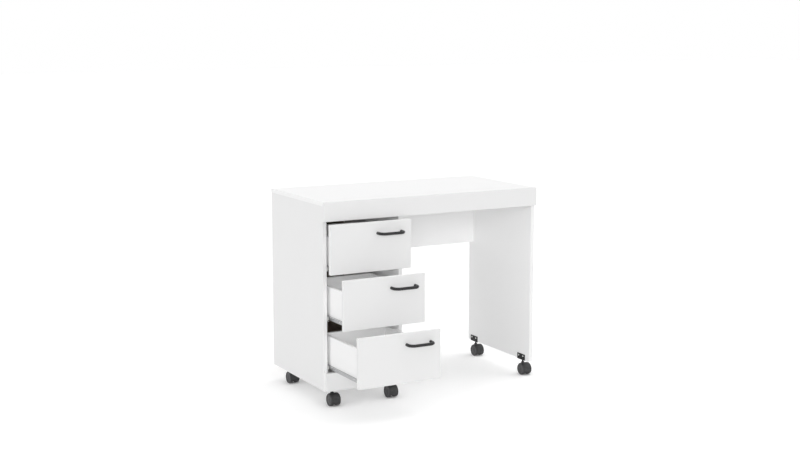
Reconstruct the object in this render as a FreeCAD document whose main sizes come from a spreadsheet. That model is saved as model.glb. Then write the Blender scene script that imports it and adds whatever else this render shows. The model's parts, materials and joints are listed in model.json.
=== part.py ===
import FreeCAD, Part
import os

import Sketcher
from FreeCAD import Rotation, Vector

# A sewing table on casters: a worktop with a deep front apron, a pedestal of three
# overlay-front drawers on roller slides, a modesty panel and a right-hand leg panel.
# Frame: +X to the right, +Y to the back, +Z up, origin on the floor under the centre
# of the bounding box. Drawers 1 and 2 stand open by open_1 and open_2, and drawer 3 by
# all of its slides' travel but stop_space.

# ---------------------------------------------------------------- driving dimensions
SIZES = {
    # overall
    "table_width": 920.0,
    "table_depth": 476.0,
    "table_height": 761.0,
    "caster_height": 60.5,
    # laminated boards
    "board": 15.0,
    "edge_radius": 0.8,
    "apron_height": 70.5,
    "top_rear_lap": 4.0,
    "back_sheet": 3.0,
    "modesty_height": 262.0,
    "modesty_inset": 16.0,
    # pedestal
    "cabinet_width": 327.0,
    "plinth_height": 69.0,
    "front_gap": 2.9,
    "apron_gap": 6.3,
    "front_left_gap": 1.8,
    "front_right_lap": 5.4,
    # drawer boxes
    "drawer_board": 12.0,
    "drawer_sheet": 3.0,
    "side_lift": 9.0,
    "side_drop": 52.0,
    "drawer_rear_space": 124.0,
    "groove_lift": 14.0,
    "groove_depth": 5.0,
    "groove_play": 0.1,
    "open_1": 44.0,
    "open_2": 148.0,
    "stop_space": 4.0,
    # bow handles
    "handle_centres": 98.0,
    "handle_standoff": 33.0,
    "handle_bar": 11.0,
    "handle_bend": 20.0,
    "handle_drop": 41.7,
    "handle_from_right": 90.3,
    "handle_screw": 4.0,
    "handle_screw_grip": 9.0,
    "handle_screw_head": 8.0,
    "handle_screw_head_depth": 2.4,
    # roller slides
    "slide_space": 12.5,
    "slide_metal": 1.2,
    "slide_end_gap": 2.0,
    "slide_overlap": 66.0,
    "runner_height": 14.0,
    "runner_foot": 12.0,
    "screw_clearance": 0.6,
    "rail_flange": 7.8,
    "rail_head_space": 2.2,
    "lip_play": 1.0,
    "roller_diameter": 18.0,
    "roller_width": 5.5,
    "roller_play": 0.3,
    "roller_side_play": 0.2,
    "roller_inset": 12.0,
    "stud_diameter": 4.0,
    "stud_collar": 7.0,
    "stud_head": 6.5,
    "stud_head_depth": 0.9,
    "running_play": 0.05,
    # twin-wheel casters
    "wheel_diameter": 45.0,
    "wheel_width": 14.0,
    "wheel_gap": 13.0,
    "wheel_edge": 2.0,
    "wheel_side_play": 0.8,
    "dish_depth": 1.5,
    "dish_diameter": 35.0,
    "hub_diameter": 12.0,
    "hub_cap": 3.0,
    "caster_trail": 12.0,
    "fender_play": 0.8,
    "fender_wall": 1.8,
    "fender_inset": 3.0,
    "stem_boss": 12.0,
    "axle_diameter": 6.0,
    "axle_boss": 15.0,
    "stem_diameter": 7.0,
    "stem_collar": 11.0,
    "stem_collar_depth": 1.5,
    "stem_neck": 8.0,
    "stem_foot_lift": 9.5,
    "mount_metal": 2.0,
    "plate_size": 38.0,
    "plate_screw_pitch": 26.0,
    "caster_side_inset": 42.5,
    "caster_front_inset": 36.0,
    "caster_rear_inset": 72.0,
    "bracket_length": 52.0,
    "bracket_height": 22.0,
    "bracket_screw_pitch": 30.0,
    "bracket_screw_lift": 14.5,
    "bracket_front_inset": 69.0,
    "bracket_rear_inset": 47.0,
    # fasteners
    "screw_diameter": 3.4,
    "screw_length": 12.0,
    "screw_head": 7.0,
    "screw_head_depth": 1.7,
    "hole_play": 0.05,
    "cam_diameter": 15.0,
    "cam_depth": 12.3,
    "cam_reach": 34.0,
    "cam_core": 4.0,
    "cam_slot_length": 9.0,
    "cam_slot_width": 1.6,
    "cam_slot_depth": 1.0,
    "cam_bolt": 6.0,
    "cam_bolt_grip": 10.0,
    "cam_from_front": 60.0,
    "cam_from_rear": 60.0,
    "floor_cam_from_front": 110.0,
    "floor_cam_from_rear": 120.0,
    "modesty_cam_inset": 50.0,
    "dowel_diameter": 8.0,
    "dowel_in_face": 10.0,
    "dowel_in_edge": 15.0,
    "dowel_inset": 150.0,
    "dowel_drop": 31.0,
}

# ----------------------------------------------------- places worked out from the sizes
PLACES = {
    "caster_width": "2 * Sizes.wheel_width + Sizes.wheel_gap",
    "caster_overhang": "caster_width / 2 - Sizes.board / 2",
    "handle_reach": "Sizes.handle_standoff + Sizes.handle_bar / 2",
    "left_end": "-(Sizes.table_width + caster_overhang) / 2",
    "right_end": "left_end + Sizes.table_width",
    "front_face": "-(Sizes.table_depth - opening_3 - handle_reach) / 2",
    "panel_front": "front_face + Sizes.board",
    "panel_back": "front_face + Sizes.table_depth - Sizes.top_rear_lap",
    "panel_depth": "Sizes.table_depth - Sizes.top_rear_lap - Sizes.board",
    "panel_top": "Sizes.table_height - Sizes.board",
    "panel_height": "panel_top - Sizes.caster_height",
    "cabinet_right": "left_end + Sizes.cabinet_width",
    "cabinet_inner_left": "left_end + Sizes.board",
    "cabinet_inner_right": "cabinet_right - Sizes.board",
    "cabinet_inner_width": "cabinet_inner_right - cabinet_inner_left",
    "leg_inner_face": "right_end - Sizes.board",
    "apron_bottom": "Sizes.table_height - Sizes.apron_height",
    "modesty_front": "modesty_back - Sizes.board",
    "modesty_back": "panel_back - Sizes.modesty_inset",
    "modesty_bottom": "panel_top - Sizes.modesty_height",
    "plinth_top": "Sizes.caster_height + Sizes.plinth_height",
    "front_height": "(apron_bottom - Sizes.apron_gap - plinth_top - 3 * Sizes.front_gap) / 3",
    "front_width": "Sizes.cabinet_width - Sizes.front_left_gap + Sizes.front_right_lap",
    "front_left": "left_end + Sizes.front_left_gap",
    "drawer_left": "cabinet_inner_left + Sizes.slide_space",
    "drawer_right": "cabinet_inner_right - Sizes.slide_space",
    "drawer_width": "drawer_right - drawer_left",
    "drawer_length": "panel_depth - Sizes.drawer_rear_space",
    "side_height": "front_height - Sizes.side_lift - Sizes.side_drop",
    "handle_middle": "front_left + front_width - Sizes.handle_from_right",
    "slide_length": "drawer_length - Sizes.slide_end_gap",
    "slide_travel": "slide_length - Sizes.slide_overlap",
    "opening_1": "Sizes.open_1",
    "opening_2": "Sizes.open_2",
    "opening_3": "slide_travel - Sizes.stop_space",
    # heights above a drawer front's bottom edge
    "runner_bottom": "Sizes.side_lift - Sizes.slide_metal",
    "lip_top": "Sizes.side_lift + Sizes.runner_height",
    "lip_bottom": "lip_top - Sizes.slide_metal",
    "runner_screw_level": "lip_bottom - Sizes.screw_head / 2 - Sizes.screw_clearance",
    "roller_axis": "lip_bottom - Sizes.roller_play - Sizes.roller_diameter / 2",
    "rail_floor": "roller_axis - Sizes.roller_diameter / 2 - Sizes.roller_play",
    "rail_bottom": "rail_floor - Sizes.slide_metal",
    "rail_ceiling": "lip_top + Sizes.lip_play",
    # distances inward from the outer face of a cabinet side
    "web_face": "Sizes.board + Sizes.slide_metal",
    "roller_outer": "web_face + Sizes.rail_head_space",
    "roller_inner": "roller_outer + Sizes.roller_width",
    "drawer_face": "Sizes.board + Sizes.slide_space",
    "runner_face": "drawer_face - Sizes.slide_metal",
    # casters
    "wheel_radius": "Sizes.wheel_diameter / 2",
    "fender_inside": "wheel_radius + Sizes.fender_play",
    "fender_outside": "fender_inside + Sizes.fender_wall",
    "caster_web": "Sizes.wheel_gap - 2 * Sizes.wheel_side_play",
    "axle_length": "caster_width - 2 * Sizes.hub_cap",
    "mount_bottom": "Sizes.caster_height - Sizes.mount_metal",
    "collar_bottom": "mount_bottom - Sizes.stem_collar_depth",
    "boss_top": "collar_bottom - Sizes.stem_neck",
    "stem_foot": "wheel_radius + Sizes.stem_foot_lift",
}
DRAWERS = ("1", "2", "3")
for count, number in enumerate(DRAWERS, start=1):
    fronts_above = f"{count} * front_height + {count - 1} * Sizes.front_gap"
    PLACES[f"front_bottom_{number}"] = f"apron_bottom - Sizes.apron_gap - ({fronts_above})"

# shares of a slide's length, from its front end
RAIL_SCREWS = (0.12, 0.5, 0.9)
RUNNER_SCREWS = (0.2, 0.75)

# the fender's arc in degrees, from straight down round the back and over the top
FENDER_START = 75.0
FENDER_SWEEP = 225.0

DIRECTIONS = {
    "+X": Rotation(Vector(0, 1, 0), 90),
    "-X": Rotation(Vector(0, 1, 0), -90),
    "+Y": Rotation(Vector(1, 0, 0), -90),
    "-Y": Rotation(Vector(1, 0, 0), 90),
    "+Z": Rotation(),
    "-Z": Rotation(Vector(1, 0, 0), 180),
}
OPPOSITE = {"+X": "-X", "-X": "+X", "+Y": "-Y", "-Y": "+Y", "+Z": "-Z", "-Z": "+Z"}

doc = FreeCAD.newDocument("sewing_table")
nodes = []
holes = {}


# ------------------------------------------------------------------ sheets and binding
def fill_sheet(name, cells):
    """Makes a spreadsheet with one aliased cell for each entry."""
    sheet = doc.addObject("Spreadsheet::Sheet", name)
    for row, (alias, content) in enumerate(cells.items(), start=1):
        sheet.set(f"A{row}", alias)
        sheet.set(f"B{row}", content)
        sheet.setAlias(f"B{row}", alias)


def size(alias):
    return f"Sizes.{alias}"


def at(alias):
    return f"Places.{alias}"


def bind(obj, **expressions):
    for name, expression in expressions.items():
        obj.setExpression(name, expression)


def place(obj, point):
    for axis, expression in zip("xyz", point):
        obj.setExpression(f"Placement.Base.{axis}", expression)


def moved(point, direction, amount):
    """The point moved by an expression along a direction such as -Y."""
    sign, moved_axis = direction
    return tuple(f"{p} {sign} ({amount})" if axis == moved_axis else p for p, axis in zip(point, "XYZ"))


# --------------------------------------------------------------------- solid builders
def box(name, corner, extent):
    obj = doc.addObject("Part::Box", name)
    bind(obj, Length=extent[0], Width=extent[1], Height=extent[2])
    place(obj, corner)
    return obj


def rod(name, start, direction, diameter, length):
    """A cylinder from its start point along a direction."""
    obj = doc.addObject("Part::Cylinder", name)
    bind(obj, Radius=f"({diameter}) / 2", Height=length)
    obj.Placement.Rotation = DIRECTIONS[direction]
    place(obj, start)
    return obj


def group(name, pieces):
    """Separate solids under one name."""
    obj = doc.addObject("Part::Compound", name)
    obj.Links = pieces
    return obj


def join(name, pieces):
    obj = doc.addObject("Part::MultiFuse", name)
    obj.Shapes = pieces
    obj.Refine = True
    return obj


def cut(name, base, tools):
    obj = doc.addObject("Part::Cut", name)
    obj.Base = base
    obj.Tool = tools[0] if len(tools) == 1 else group(f"{name}_tools", tools)
    obj.Refine = True
    return obj


def node(obj):
    """Marks an object as a sub-part that is written to its own file."""
    nodes.append(obj)


def make_hole(pieces, tool):
    """Notes a hole for each named piece that the tool passes through."""
    for piece in pieces:
        holes.setdefault(piece, []).append(tool)


def body_sketch(body, name, role):
    plane = next(feature for feature in body.Origin.OriginFeatures if feature.Role == role)
    sketch = body.newObject("Sketcher::SketchObject", name)
    sketch.AttachmentSupport = (plane, "")
    sketch.MapMode = "FlatFace"
    return sketch


def name_size(sketch, name, constraint, expression):
    index = sketch.addConstraint(constraint)
    sketch.renameConstraint(index, name)
    sketch.setExpression(f"Constraints.{name}", expression)


def draw_rectangle(sketch, length, width):
    """A rectangle with its first corner on the origin."""
    corners = (Vector(0, 0), Vector(10, 0), Vector(10, 10), Vector(0, 10))
    for index in range(4):
        sketch.addGeometry(Part.LineSegment(corners[index], corners[(index + 1) % 4]), False)
    for index in range(4):
        sketch.addConstraint(Sketcher.Constraint("Coincident", index, 2, (index + 1) % 4, 1))
    for index, direction in enumerate(("Horizontal", "Vertical", "Horizontal", "Vertical")):
        sketch.addConstraint(Sketcher.Constraint(direction, index))
    sketch.addConstraint(Sketcher.Constraint("Coincident", 0, 1, -1, 1))
    name_size(sketch, "span_x", Sketcher.Constraint("DistanceX", 0, 1, 0, 2, 10.0), length)
    name_size(sketch, "span_y", Sketcher.Constraint("DistanceY", 1, 1, 1, 2, 10.0), width)


def draw_circle(sketch, name, diameter):
    """A circle about the origin."""
    index = sketch.addGeometry(Part.Circle(Vector(), Vector(0, 0, 1), 5.0), False)
    sketch.addConstraint(Sketcher.Constraint("Coincident", index, 3, -1, 1))
    name_size(sketch, name, Sketcher.Constraint("Diameter", index, 10.0), diameter)


def pad_sketch(body, sketch, length):
    pad = body.newObject("PartDesign::Pad", f"{body.Name}_pad")
    pad.Profile = sketch
    bind(pad, Length=length)
    doc.recompute()
    return pad


def round_edges(body, feature, radius):
    """Rounds every edge of a body's feature."""
    fillet = body.newObject("PartDesign::Fillet", f"{body.Name}_edges")
    fillet.Base = (feature, [])
    fillet.UseAllEdges = True
    bind(fillet, Radius=radius)


def board(name, corner, extent):
    """A laminated board with its edges just eased."""
    body = doc.addObject("PartDesign::Body", name)
    outline = body_sketch(body, f"{name}_outline", "XY_Plane")
    draw_rectangle(outline, extent[0], extent[1])
    pad = pad_sketch(body, outline, extent[2])
    round_edges(body, pad, size("edge_radius"))
    place(body, corner)
    return body


# ------------------------------------------------------------------------- fasteners
def pan_screw(name, seat, direction, through):
    """A pan-head screw: its head seats on the point, and each piece it passes is bored."""
    shank = rod(f"{name}_shank", seat, direction, size("screw_diameter"), size("screw_length"))
    head = rod(f"{name}_head", seat, OPPOSITE[direction], size("screw_head"), size("screw_head_depth"))
    bore = f"{size('screw_diameter')} + 2 * {size('hole_play')}"
    depth = f"{size('screw_length')} + {size('hole_play')}"
    make_hole(through, rod(f"{name}_hole", seat, direction, bore, depth))
    return join(name, [shank, head])


def cam_fitting(name, seat, bolt_direction, cam_direction, cam_mouth, host, mate):
    """A cam let into the host board and the bolt that it draws into the mating board.

    seat is where the bolt crosses the joint. bolt_direction points from host to mate,
    cam_direction into the host, and cam_mouth is the host's face on the cam's axis.
    """
    centre = moved(seat, OPPOSITE[bolt_direction], size("cam_reach"))
    mouth = tuple(cam_mouth if axis == cam_direction[1] else c for c, axis in zip(centre, "XYZ"))
    disc = rod(f"{name}_disc", mouth, cam_direction, size("cam_diameter"), size("cam_depth"))
    pocket_bore = f"{size('cam_diameter')} + 2 * {size('hole_play')}"
    pocket_depth = f"{size('cam_depth')} + {size('hole_play')}"
    make_hole([host], rod(f"{name}_pocket", mouth, cam_direction, pocket_bore, pocket_depth))

    core = moved(centre, bolt_direction, size("cam_core"))
    length = f"{size('cam_reach')} - {size('cam_core')} + {size('cam_bolt_grip')}"
    bolt = rod(f"{name}_bolt", core, bolt_direction, size("cam_bolt"), length)
    bolt_bore = f"{size('cam_bolt')} + 2 * {size('hole_play')}"
    bore_start = moved(core, OPPOSITE[bolt_direction], size("hole_play"))
    bore = rod(f"{name}_bore", bore_start, bolt_direction, bolt_bore, f"{length} + 2 * {size('hole_play')}")
    make_hole([host, mate], bore)

    third_axis = next(axis for axis in "XYZ" if axis not in (bolt_direction[1], cam_direction[1]))
    spans = {
        bolt_direction[1]: size("cam_slot_length"),
        third_axis: size("cam_slot_width"),
        cam_direction[1]: f"2 * {size('cam_slot_depth')}",
    }
    low = tuple(f"{m} - {spans[axis]} / 2" for m, axis in zip(mouth, "XYZ"))
    slot = box(f"{name}_slot", low, tuple(spans[axis] for axis in "XYZ"))
    return cut(f"{name}_lock", disc, [bore, slot]), bolt


def dowel(name, seat, face_board, edge_board):
    """A wooden dowel along Y through the seat, from a board's face into another's edge."""
    start = moved(seat, "-Y", size("dowel_in_face"))
    length = f"{size('dowel_in_face')} + {size('dowel_in_edge')}"
    bore = f"{size('dowel_diameter')} + 2 * {size('hole_play')}"
    bore_start = moved(start, "-Y", size("hole_play"))
    hole = rod(f"{name}_hole", bore_start, "+Y", bore, f"{length} + 2 * {size('hole_play')}")
    make_hole([face_board, edge_board], hole)
    return rod(name, start, "+Y", size("dowel_diameter"), length)


# --------------------------------------------------------------------------- carcass
def make_carcass_boards():
    """The boards before they are bored, by name."""
    floor_level = size("caster_height")
    panel = (size("board"), at("panel_depth"), at("panel_height"))
    knee_width = f"{at('leg_inner_face')} - {at('cabinet_right')}"
    layout = {
        "tabletop": (
            (at("left_end"), at("panel_front"), at("panel_top")),
            (size("table_width"), f"{size('table_depth')} - {size('board')}", size("board")),
        ),
        "front_apron": (
            (at("left_end"), at("front_face"), at("apron_bottom")),
            (size("table_width"), size("board"), size("apron_height")),
        ),
        "left_side_panel": ((at("left_end"), at("panel_front"), floor_level), panel),
        "inner_side_panel": ((at("cabinet_inner_right"), at("panel_front"), floor_level), panel),
        "right_side_panel": ((at("leg_inner_face"), at("panel_front"), floor_level), panel),
        "modesty_panel": (
            (at("cabinet_right"), at("modesty_front"), at("modesty_bottom")),
            (knee_width, size("board"), size("modesty_height")),
        ),
        "cabinet_bottom": (
            (at("cabinet_inner_left"), at("panel_front"), floor_level),
            (at("cabinet_inner_width"), f"{at('panel_depth')} - {size('back_sheet')}", size("board")),
        ),
        "plinth_board": (
            (at("front_left"), at("front_face"), floor_level),
            (at("front_width"), size("board"), size("plinth_height")),
        ),
    }
    return {name: board(f"{name}_blank", corner, extent) for name, (corner, extent) in layout.items()}


def make_cabinet_back():
    """The thin back, let in between the cabinet's sides."""
    corner = (at("cabinet_inner_left"), f"{at('panel_back')} - {size('back_sheet')}", size("caster_height"))
    node(box("cabinet_back", corner, (at("cabinet_inner_width"), size("back_sheet"), at("panel_height"))))


def make_cam_fittings():
    half = f"{size('board')} / 2"
    front_row = f"{at('panel_front')} + {size('cam_from_front')}"
    rear_row = f"{at('panel_back')} - {size('cam_from_rear')}"
    fittings = []

    def add(*arguments):
        fittings.append(cam_fitting(f"cam_{len(fittings) + 1}", *arguments))

    # the three uprights to the tabletop
    uprights = (
        ("left_side_panel", f"{at('left_end')} + {half}", at("cabinet_inner_left"), "-X"),
        ("inner_side_panel", f"{at('cabinet_inner_right')} + {half}", at("cabinet_inner_right"), "+X"),
        ("right_side_panel", f"{at('leg_inner_face')} + {half}", at("leg_inner_face"), "+X"),
    )
    for panel, middle, face, inward in uprights:
        for row in (front_row, rear_row):
            add((middle, row, at("panel_top")), "+Z", inward, face, panel, "tabletop")

    # the cabinet bottom to both cabinet sides, from underneath
    floor_middle = f"{size('caster_height')} + {half}"
    floor_rows = (
        f"{at('panel_front')} + {size('floor_cam_from_front')}",
        f"{at('panel_back')} - {size('floor_cam_from_rear')}",
    )
    cabinet_sides = (
        (at("cabinet_inner_left"), "-X", "left_side_panel"),
        (at("cabinet_inner_right"), "+X", "inner_side_panel"),
    )
    for joint, outward, panel in cabinet_sides:
        for row in floor_rows:
            seat = (joint, row, floor_middle)
            add(seat, outward, "+Z", size("caster_height"), "cabinet_bottom", panel)

    # the modesty panel between the inner and right side panels, from behind
    modesty_middle = f"{at('modesty_front')} + {half}"
    modesty_levels = (
        f"{at('modesty_bottom')} + {size('modesty_cam_inset')}",
        f"{at('panel_top')} - {size('modesty_cam_inset')}",
    )
    modesty_ends = (
        (at("cabinet_right"), "-X", "inner_side_panel"),
        (at("leg_inner_face"), "+X", "right_side_panel"),
    )
    for joint, outward, panel in modesty_ends:
        for level in modesty_levels:
            seat = (joint, modesty_middle, level)
            add(seat, outward, "-Y", at("modesty_back"), "modesty_panel", panel)

    node(group("cam_locks", [lock for lock, bolt in fittings]))
    node(group("cam_bolts", [bolt for lock, bolt in fittings]))


def make_dowels():
    half = f"{size('board')} / 2"
    upright_middles = {
        "left_side_panel": f"{at('left_end')} + {half}",
        "inner_side_panel": f"{at('cabinet_inner_right')} + {half}",
        "right_side_panel": f"{at('leg_inner_face')} + {half}",
    }
    top_middle = f"{at('panel_top')} + {half}"
    top_places = (
        f"{at('left_end')} + {size('dowel_inset')}",
        f"{at('left_end')} + {size('table_width')} / 2",
        f"{at('right_end')} - {size('dowel_inset')}",
    )
    apron_level = f"{at('panel_top')} - {size('dowel_drop')}"
    plinth_level = f"{size('caster_height')} + {size('plinth_height')} / 2"
    pins = []

    def add(x, level, face_board, edge_board):
        seat = (x, at("panel_front"), level)
        pins.append(dowel(f"dowel_{len(pins) + 1}", seat, face_board, edge_board))

    for x in top_places:
        add(x, top_middle, "front_apron", "tabletop")
    for panel, x in upright_middles.items():
        add(x, apron_level, "front_apron", panel)
    for panel in ("left_side_panel", "inner_side_panel"):
        add(upright_middles[panel], plinth_level, "plinth_board", panel)
    node(group("wood_dowels", pins))


# --------------------------------------------------------------------- roller slides
# Each slide is described from its own cabinet side inward, so that the left and the
# right one come from the same distances.
INWARD = {"left": "+X", "right": "-X"}
SIDE_PANELS = {"left": "left_side_panel", "right": "inner_side_panel"}


def across(side, distance):
    """The X of a distance inward from the outer face of a cabinet side."""
    edge, sign = (at("left_end"), "+") if side == "left" else (at("cabinet_right"), "-")
    return f"{edge} {sign} ({distance})"


def slide_box(name, side, outer, inner, y, length, z, height):
    """A box between two distances inward from a cabinet side."""
    low_x = across(side, outer if side == "left" else inner)
    return box(name, (low_x, y, z), (f"({inner}) - ({outer})", length, height))


def slide_rod(name, side, outer, inner, y, z, diameter):
    """A rod across a slide between two distances inward from a cabinet side."""
    start = (across(side, outer), y, z)
    return rod(name, start, INWARD[side], diameter, f"({inner}) - ({outer})")


def roller(name, side, head_outer, head_inner, y, z):
    """A roller with its bore and the recess that takes its stud's head."""
    ends = (at("roller_outer"), at("roller_inner"))
    disc = slide_rod(f"{name}_disc", side, *ends, y, z, size("roller_diameter"))
    bore_size = f"{size('stud_diameter')} + 2 * {size('running_play')}"
    bore = slide_rod(f"{name}_bore", side, *ends, y, z, bore_size)
    recess_size = f"{size('stud_head')} + 2 * {size('roller_side_play')}"
    recess = slide_rod(f"{name}_recess", side, head_outer, head_inner, y, z, recess_size)
    return cut(name, disc, [bore, recess])


def stud(name, side, ends, collar, head, y, z):
    """A roller's riveted stud: ends, collar and head are pairs of distances."""
    collar_rod = slide_rod(f"{name}_collar", side, *collar, y, z, size("stud_collar"))
    head_rod = slide_rod(f"{name}_head", side, *head, y, z, size("stud_head"))
    pin = slide_rod(f"{name}_pin", side, *ends, y, z, size("stud_diameter"))
    return join(name, [collar_rod, head_rod, pin])


def make_cabinet_rails(number, pan_screws):
    """The cabinet members of one drawer's slides, with a roller at their front ends."""
    bottom = at(f"front_bottom_{number}")
    y = f"{at('panel_front')} + {size('slide_end_gap')}"
    length = at("slide_length")
    axle_y = f"{y} + {size('roller_inset')}"
    axle_z = f"{bottom} + {at('roller_axis')}"
    flange_tip = f"{at('web_face')} + {size('rail_flange')}"
    metal = size("slide_metal")
    collar = (at("web_face"), f"{at('roller_outer')} - {size('roller_side_play')}")
    head = (f"{at('roller_inner')} - {size('stud_head_depth')}", at("roller_inner"))
    recess = (f"{head[0]} - {size('roller_side_play')}", head[1])
    stud_ends = (at("web_face"), at("roller_inner"))
    rails = []
    rollers = []
    for side in INWARD:
        name = f"rail_{number}_{side}"
        web_height = f"{at('rail_ceiling')} + {metal} - {at('rail_bottom')}"
        web_z = f"{bottom} + {at('rail_bottom')}"
        ceiling_z = f"{bottom} + {at('rail_ceiling')}"
        web = slide_box(f"{name}_web", side, size("board"), at("web_face"), y, length, web_z, web_height)
        floor = slide_box(f"{name}_floor", side, size("board"), flange_tip, y, length, web_z, metal)
        ceiling = slide_box(f"{name}_ceiling", side, size("board"), flange_tip, y, length, ceiling_z, metal)
        for index, share in enumerate(RAIL_SCREWS, start=1):
            seat = (across(side, at("web_face")), f"{y} + {share} * {length}", axle_z)
            through = [name, SIDE_PANELS[side]]
            pan_screws.append(pan_screw(f"{name}_screw_{index}", seat, OPPOSITE[INWARD[side]], through))
        rails.append(cut(name, join(f"{name}_blank", [web, floor, ceiling]), holes[name]))
        rails.append(stud(f"{name}_stud", side, stud_ends, collar, head, axle_y, axle_z))
        rollers.append(roller(f"{name}_roller", side, *recess, axle_y, axle_z))
    node(group(f"drawer_{number}_cabinet_rails", rails))
    node(group(f"drawer_{number}_cabinet_rollers", rollers))


def make_drawer_runners(number, drawer_front):
    """The drawer members of one drawer's slides, with a roller at their rear ends."""
    bottom = at(f"front_bottom_{number}")
    y = f"{drawer_front} + {size('slide_end_gap')}"
    length = at("slide_length")
    axle_y = f"{y} + {length} - {size('roller_inset')}"
    axle_z = f"{bottom} + {at('roller_axis')}"
    metal = size("slide_metal")
    foot_tip = f"{at('runner_face')} + {size('runner_foot')}"
    foot_z = f"{bottom} + {at('runner_bottom')}"
    lip_z = f"{bottom} + {at('lip_bottom')}"
    wall_height = f"{at('lip_top')} - {at('runner_bottom')}"
    collar = (f"{at('roller_inner')} + {size('roller_side_play')}", at("runner_face"))
    head = (at("roller_outer"), f"{at('roller_outer')} + {size('stud_head_depth')}")
    recess = (head[0], f"{head[1]} + {size('roller_side_play')}")
    stud_ends = (at("roller_outer"), at("runner_face"))
    wall_ends = (at("runner_face"), at("drawer_face"))
    runners = []
    rollers = []
    screws = []
    for side in INWARD:
        name = f"runner_{number}_{side}"
        wall = slide_box(f"{name}_wall", side, *wall_ends, y, length, foot_z, wall_height)
        foot = slide_box(f"{name}_foot", side, at("runner_face"), foot_tip, y, length, foot_z, metal)
        lip = slide_box(f"{name}_lip", side, at("roller_outer"), at("drawer_face"), y, length, lip_z, metal)
        screw_z = f"{bottom} + {at('runner_screw_level')}"
        for index, share in enumerate(RUNNER_SCREWS, start=1):
            seat = (across(side, at("runner_face")), f"{y} + {share} * {length}", screw_z)
            through = [name, f"drawer_{number}_{side}_side"]
            screws.append(pan_screw(f"{name}_screw_{index}", seat, INWARD[side], through))
        runners.append(cut(name, join(f"{name}_blank", [wall, foot, lip]), holes[name]))
        runners.append(stud(f"{name}_stud", side, stud_ends, collar, head, axle_y, axle_z))
        rollers.append(roller(f"{name}_roller", side, *recess, axle_y, axle_z))
    node(group(f"drawer_{number}_runners", runners))
    node(group(f"drawer_{number}_rollers", rollers))
    return screws


# --------------------------------------------------------------------------- drawers
def make_handle(number, face_y, level):
    """A bow handle of round bar, and the hole that each of its feet has for a screw."""
    name = f"drawer_{number}_handle"
    half = f"{size('handle_centres')} / 2"
    leg_length = f"{size('handle_standoff')} - {size('handle_bend')}"
    straight = f"{size('handle_centres')} - 2 * {size('handle_bend')}"
    middle = (at("handle_middle"), face_y, level)
    pieces = []
    for side, sign, quarter_turn in (("left", "-X", 180), ("right", "+X", 270)):
        foot = moved(middle, sign, half)
        pieces.append(rod(f"{name}_{side}_leg", foot, "-Y", size("handle_bar"), leg_length))
        bend = doc.addObject("Part::Torus", f"{name}_{side}_bend")
        bind(bend, Radius1=size("handle_bend"), Radius2=f"{size('handle_bar')} / 2")
        bend.Angle3 = 90
        bend.Placement.Rotation = Rotation(Vector(0, 0, 1), quarter_turn)
        bend_centre = moved(moved(foot, OPPOSITE[sign], size("handle_bend")), "-Y", leg_length)
        place(bend, bend_centre)
        pieces.append(bend)
    bar_start = moved(moved(moved(middle, "-X", half), "+X", size("handle_bend")), "-Y", size("handle_standoff"))
    pieces.append(rod(f"{name}_bar", bar_start, "+X", size("handle_bar"), straight))
    node(cut(name, join(f"{name}_blank", pieces), holes[name]))


def make_handle_screws(number, drawer_front, level):
    """Screws from inside the front into the handle's feet, their heads let in flush."""
    screws = []
    depth = size("handle_screw_head_depth")
    for side, sign in (("left", "-X"), ("right", "+X")):
        name = f"drawer_{number}_handle_screw_{side}"
        middle = (at("handle_middle"), drawer_front, level)
        mouth = moved(middle, sign, f"{size('handle_centres')} / 2")
        seat = moved(mouth, "-Y", depth)
        length = f"{size('board')} - {depth} + {size('handle_screw_grip')}"
        shank = rod(f"{name}_shank", seat, "-Y", size("handle_screw"), length)
        head = rod(f"{name}_head", seat, "+Y", size("handle_screw_head"), depth)
        bore = f"{size('handle_screw')} + 2 * {size('hole_play')}"
        head_bore = f"{size('handle_screw_head')} + 2 * {size('hole_play')}"
        hole = rod(f"{name}_hole", seat, "-Y", bore, f"{length} + {size('hole_play')}")
        make_hole([f"drawer_{number}_front", f"drawer_{number}_handle"], hole)
        make_hole([f"drawer_{number}_front"], rod(f"{name}_recess", mouth, "-Y", head_bore, depth))
        screws.append(join(name, [shank, head]))
    return screws


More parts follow.
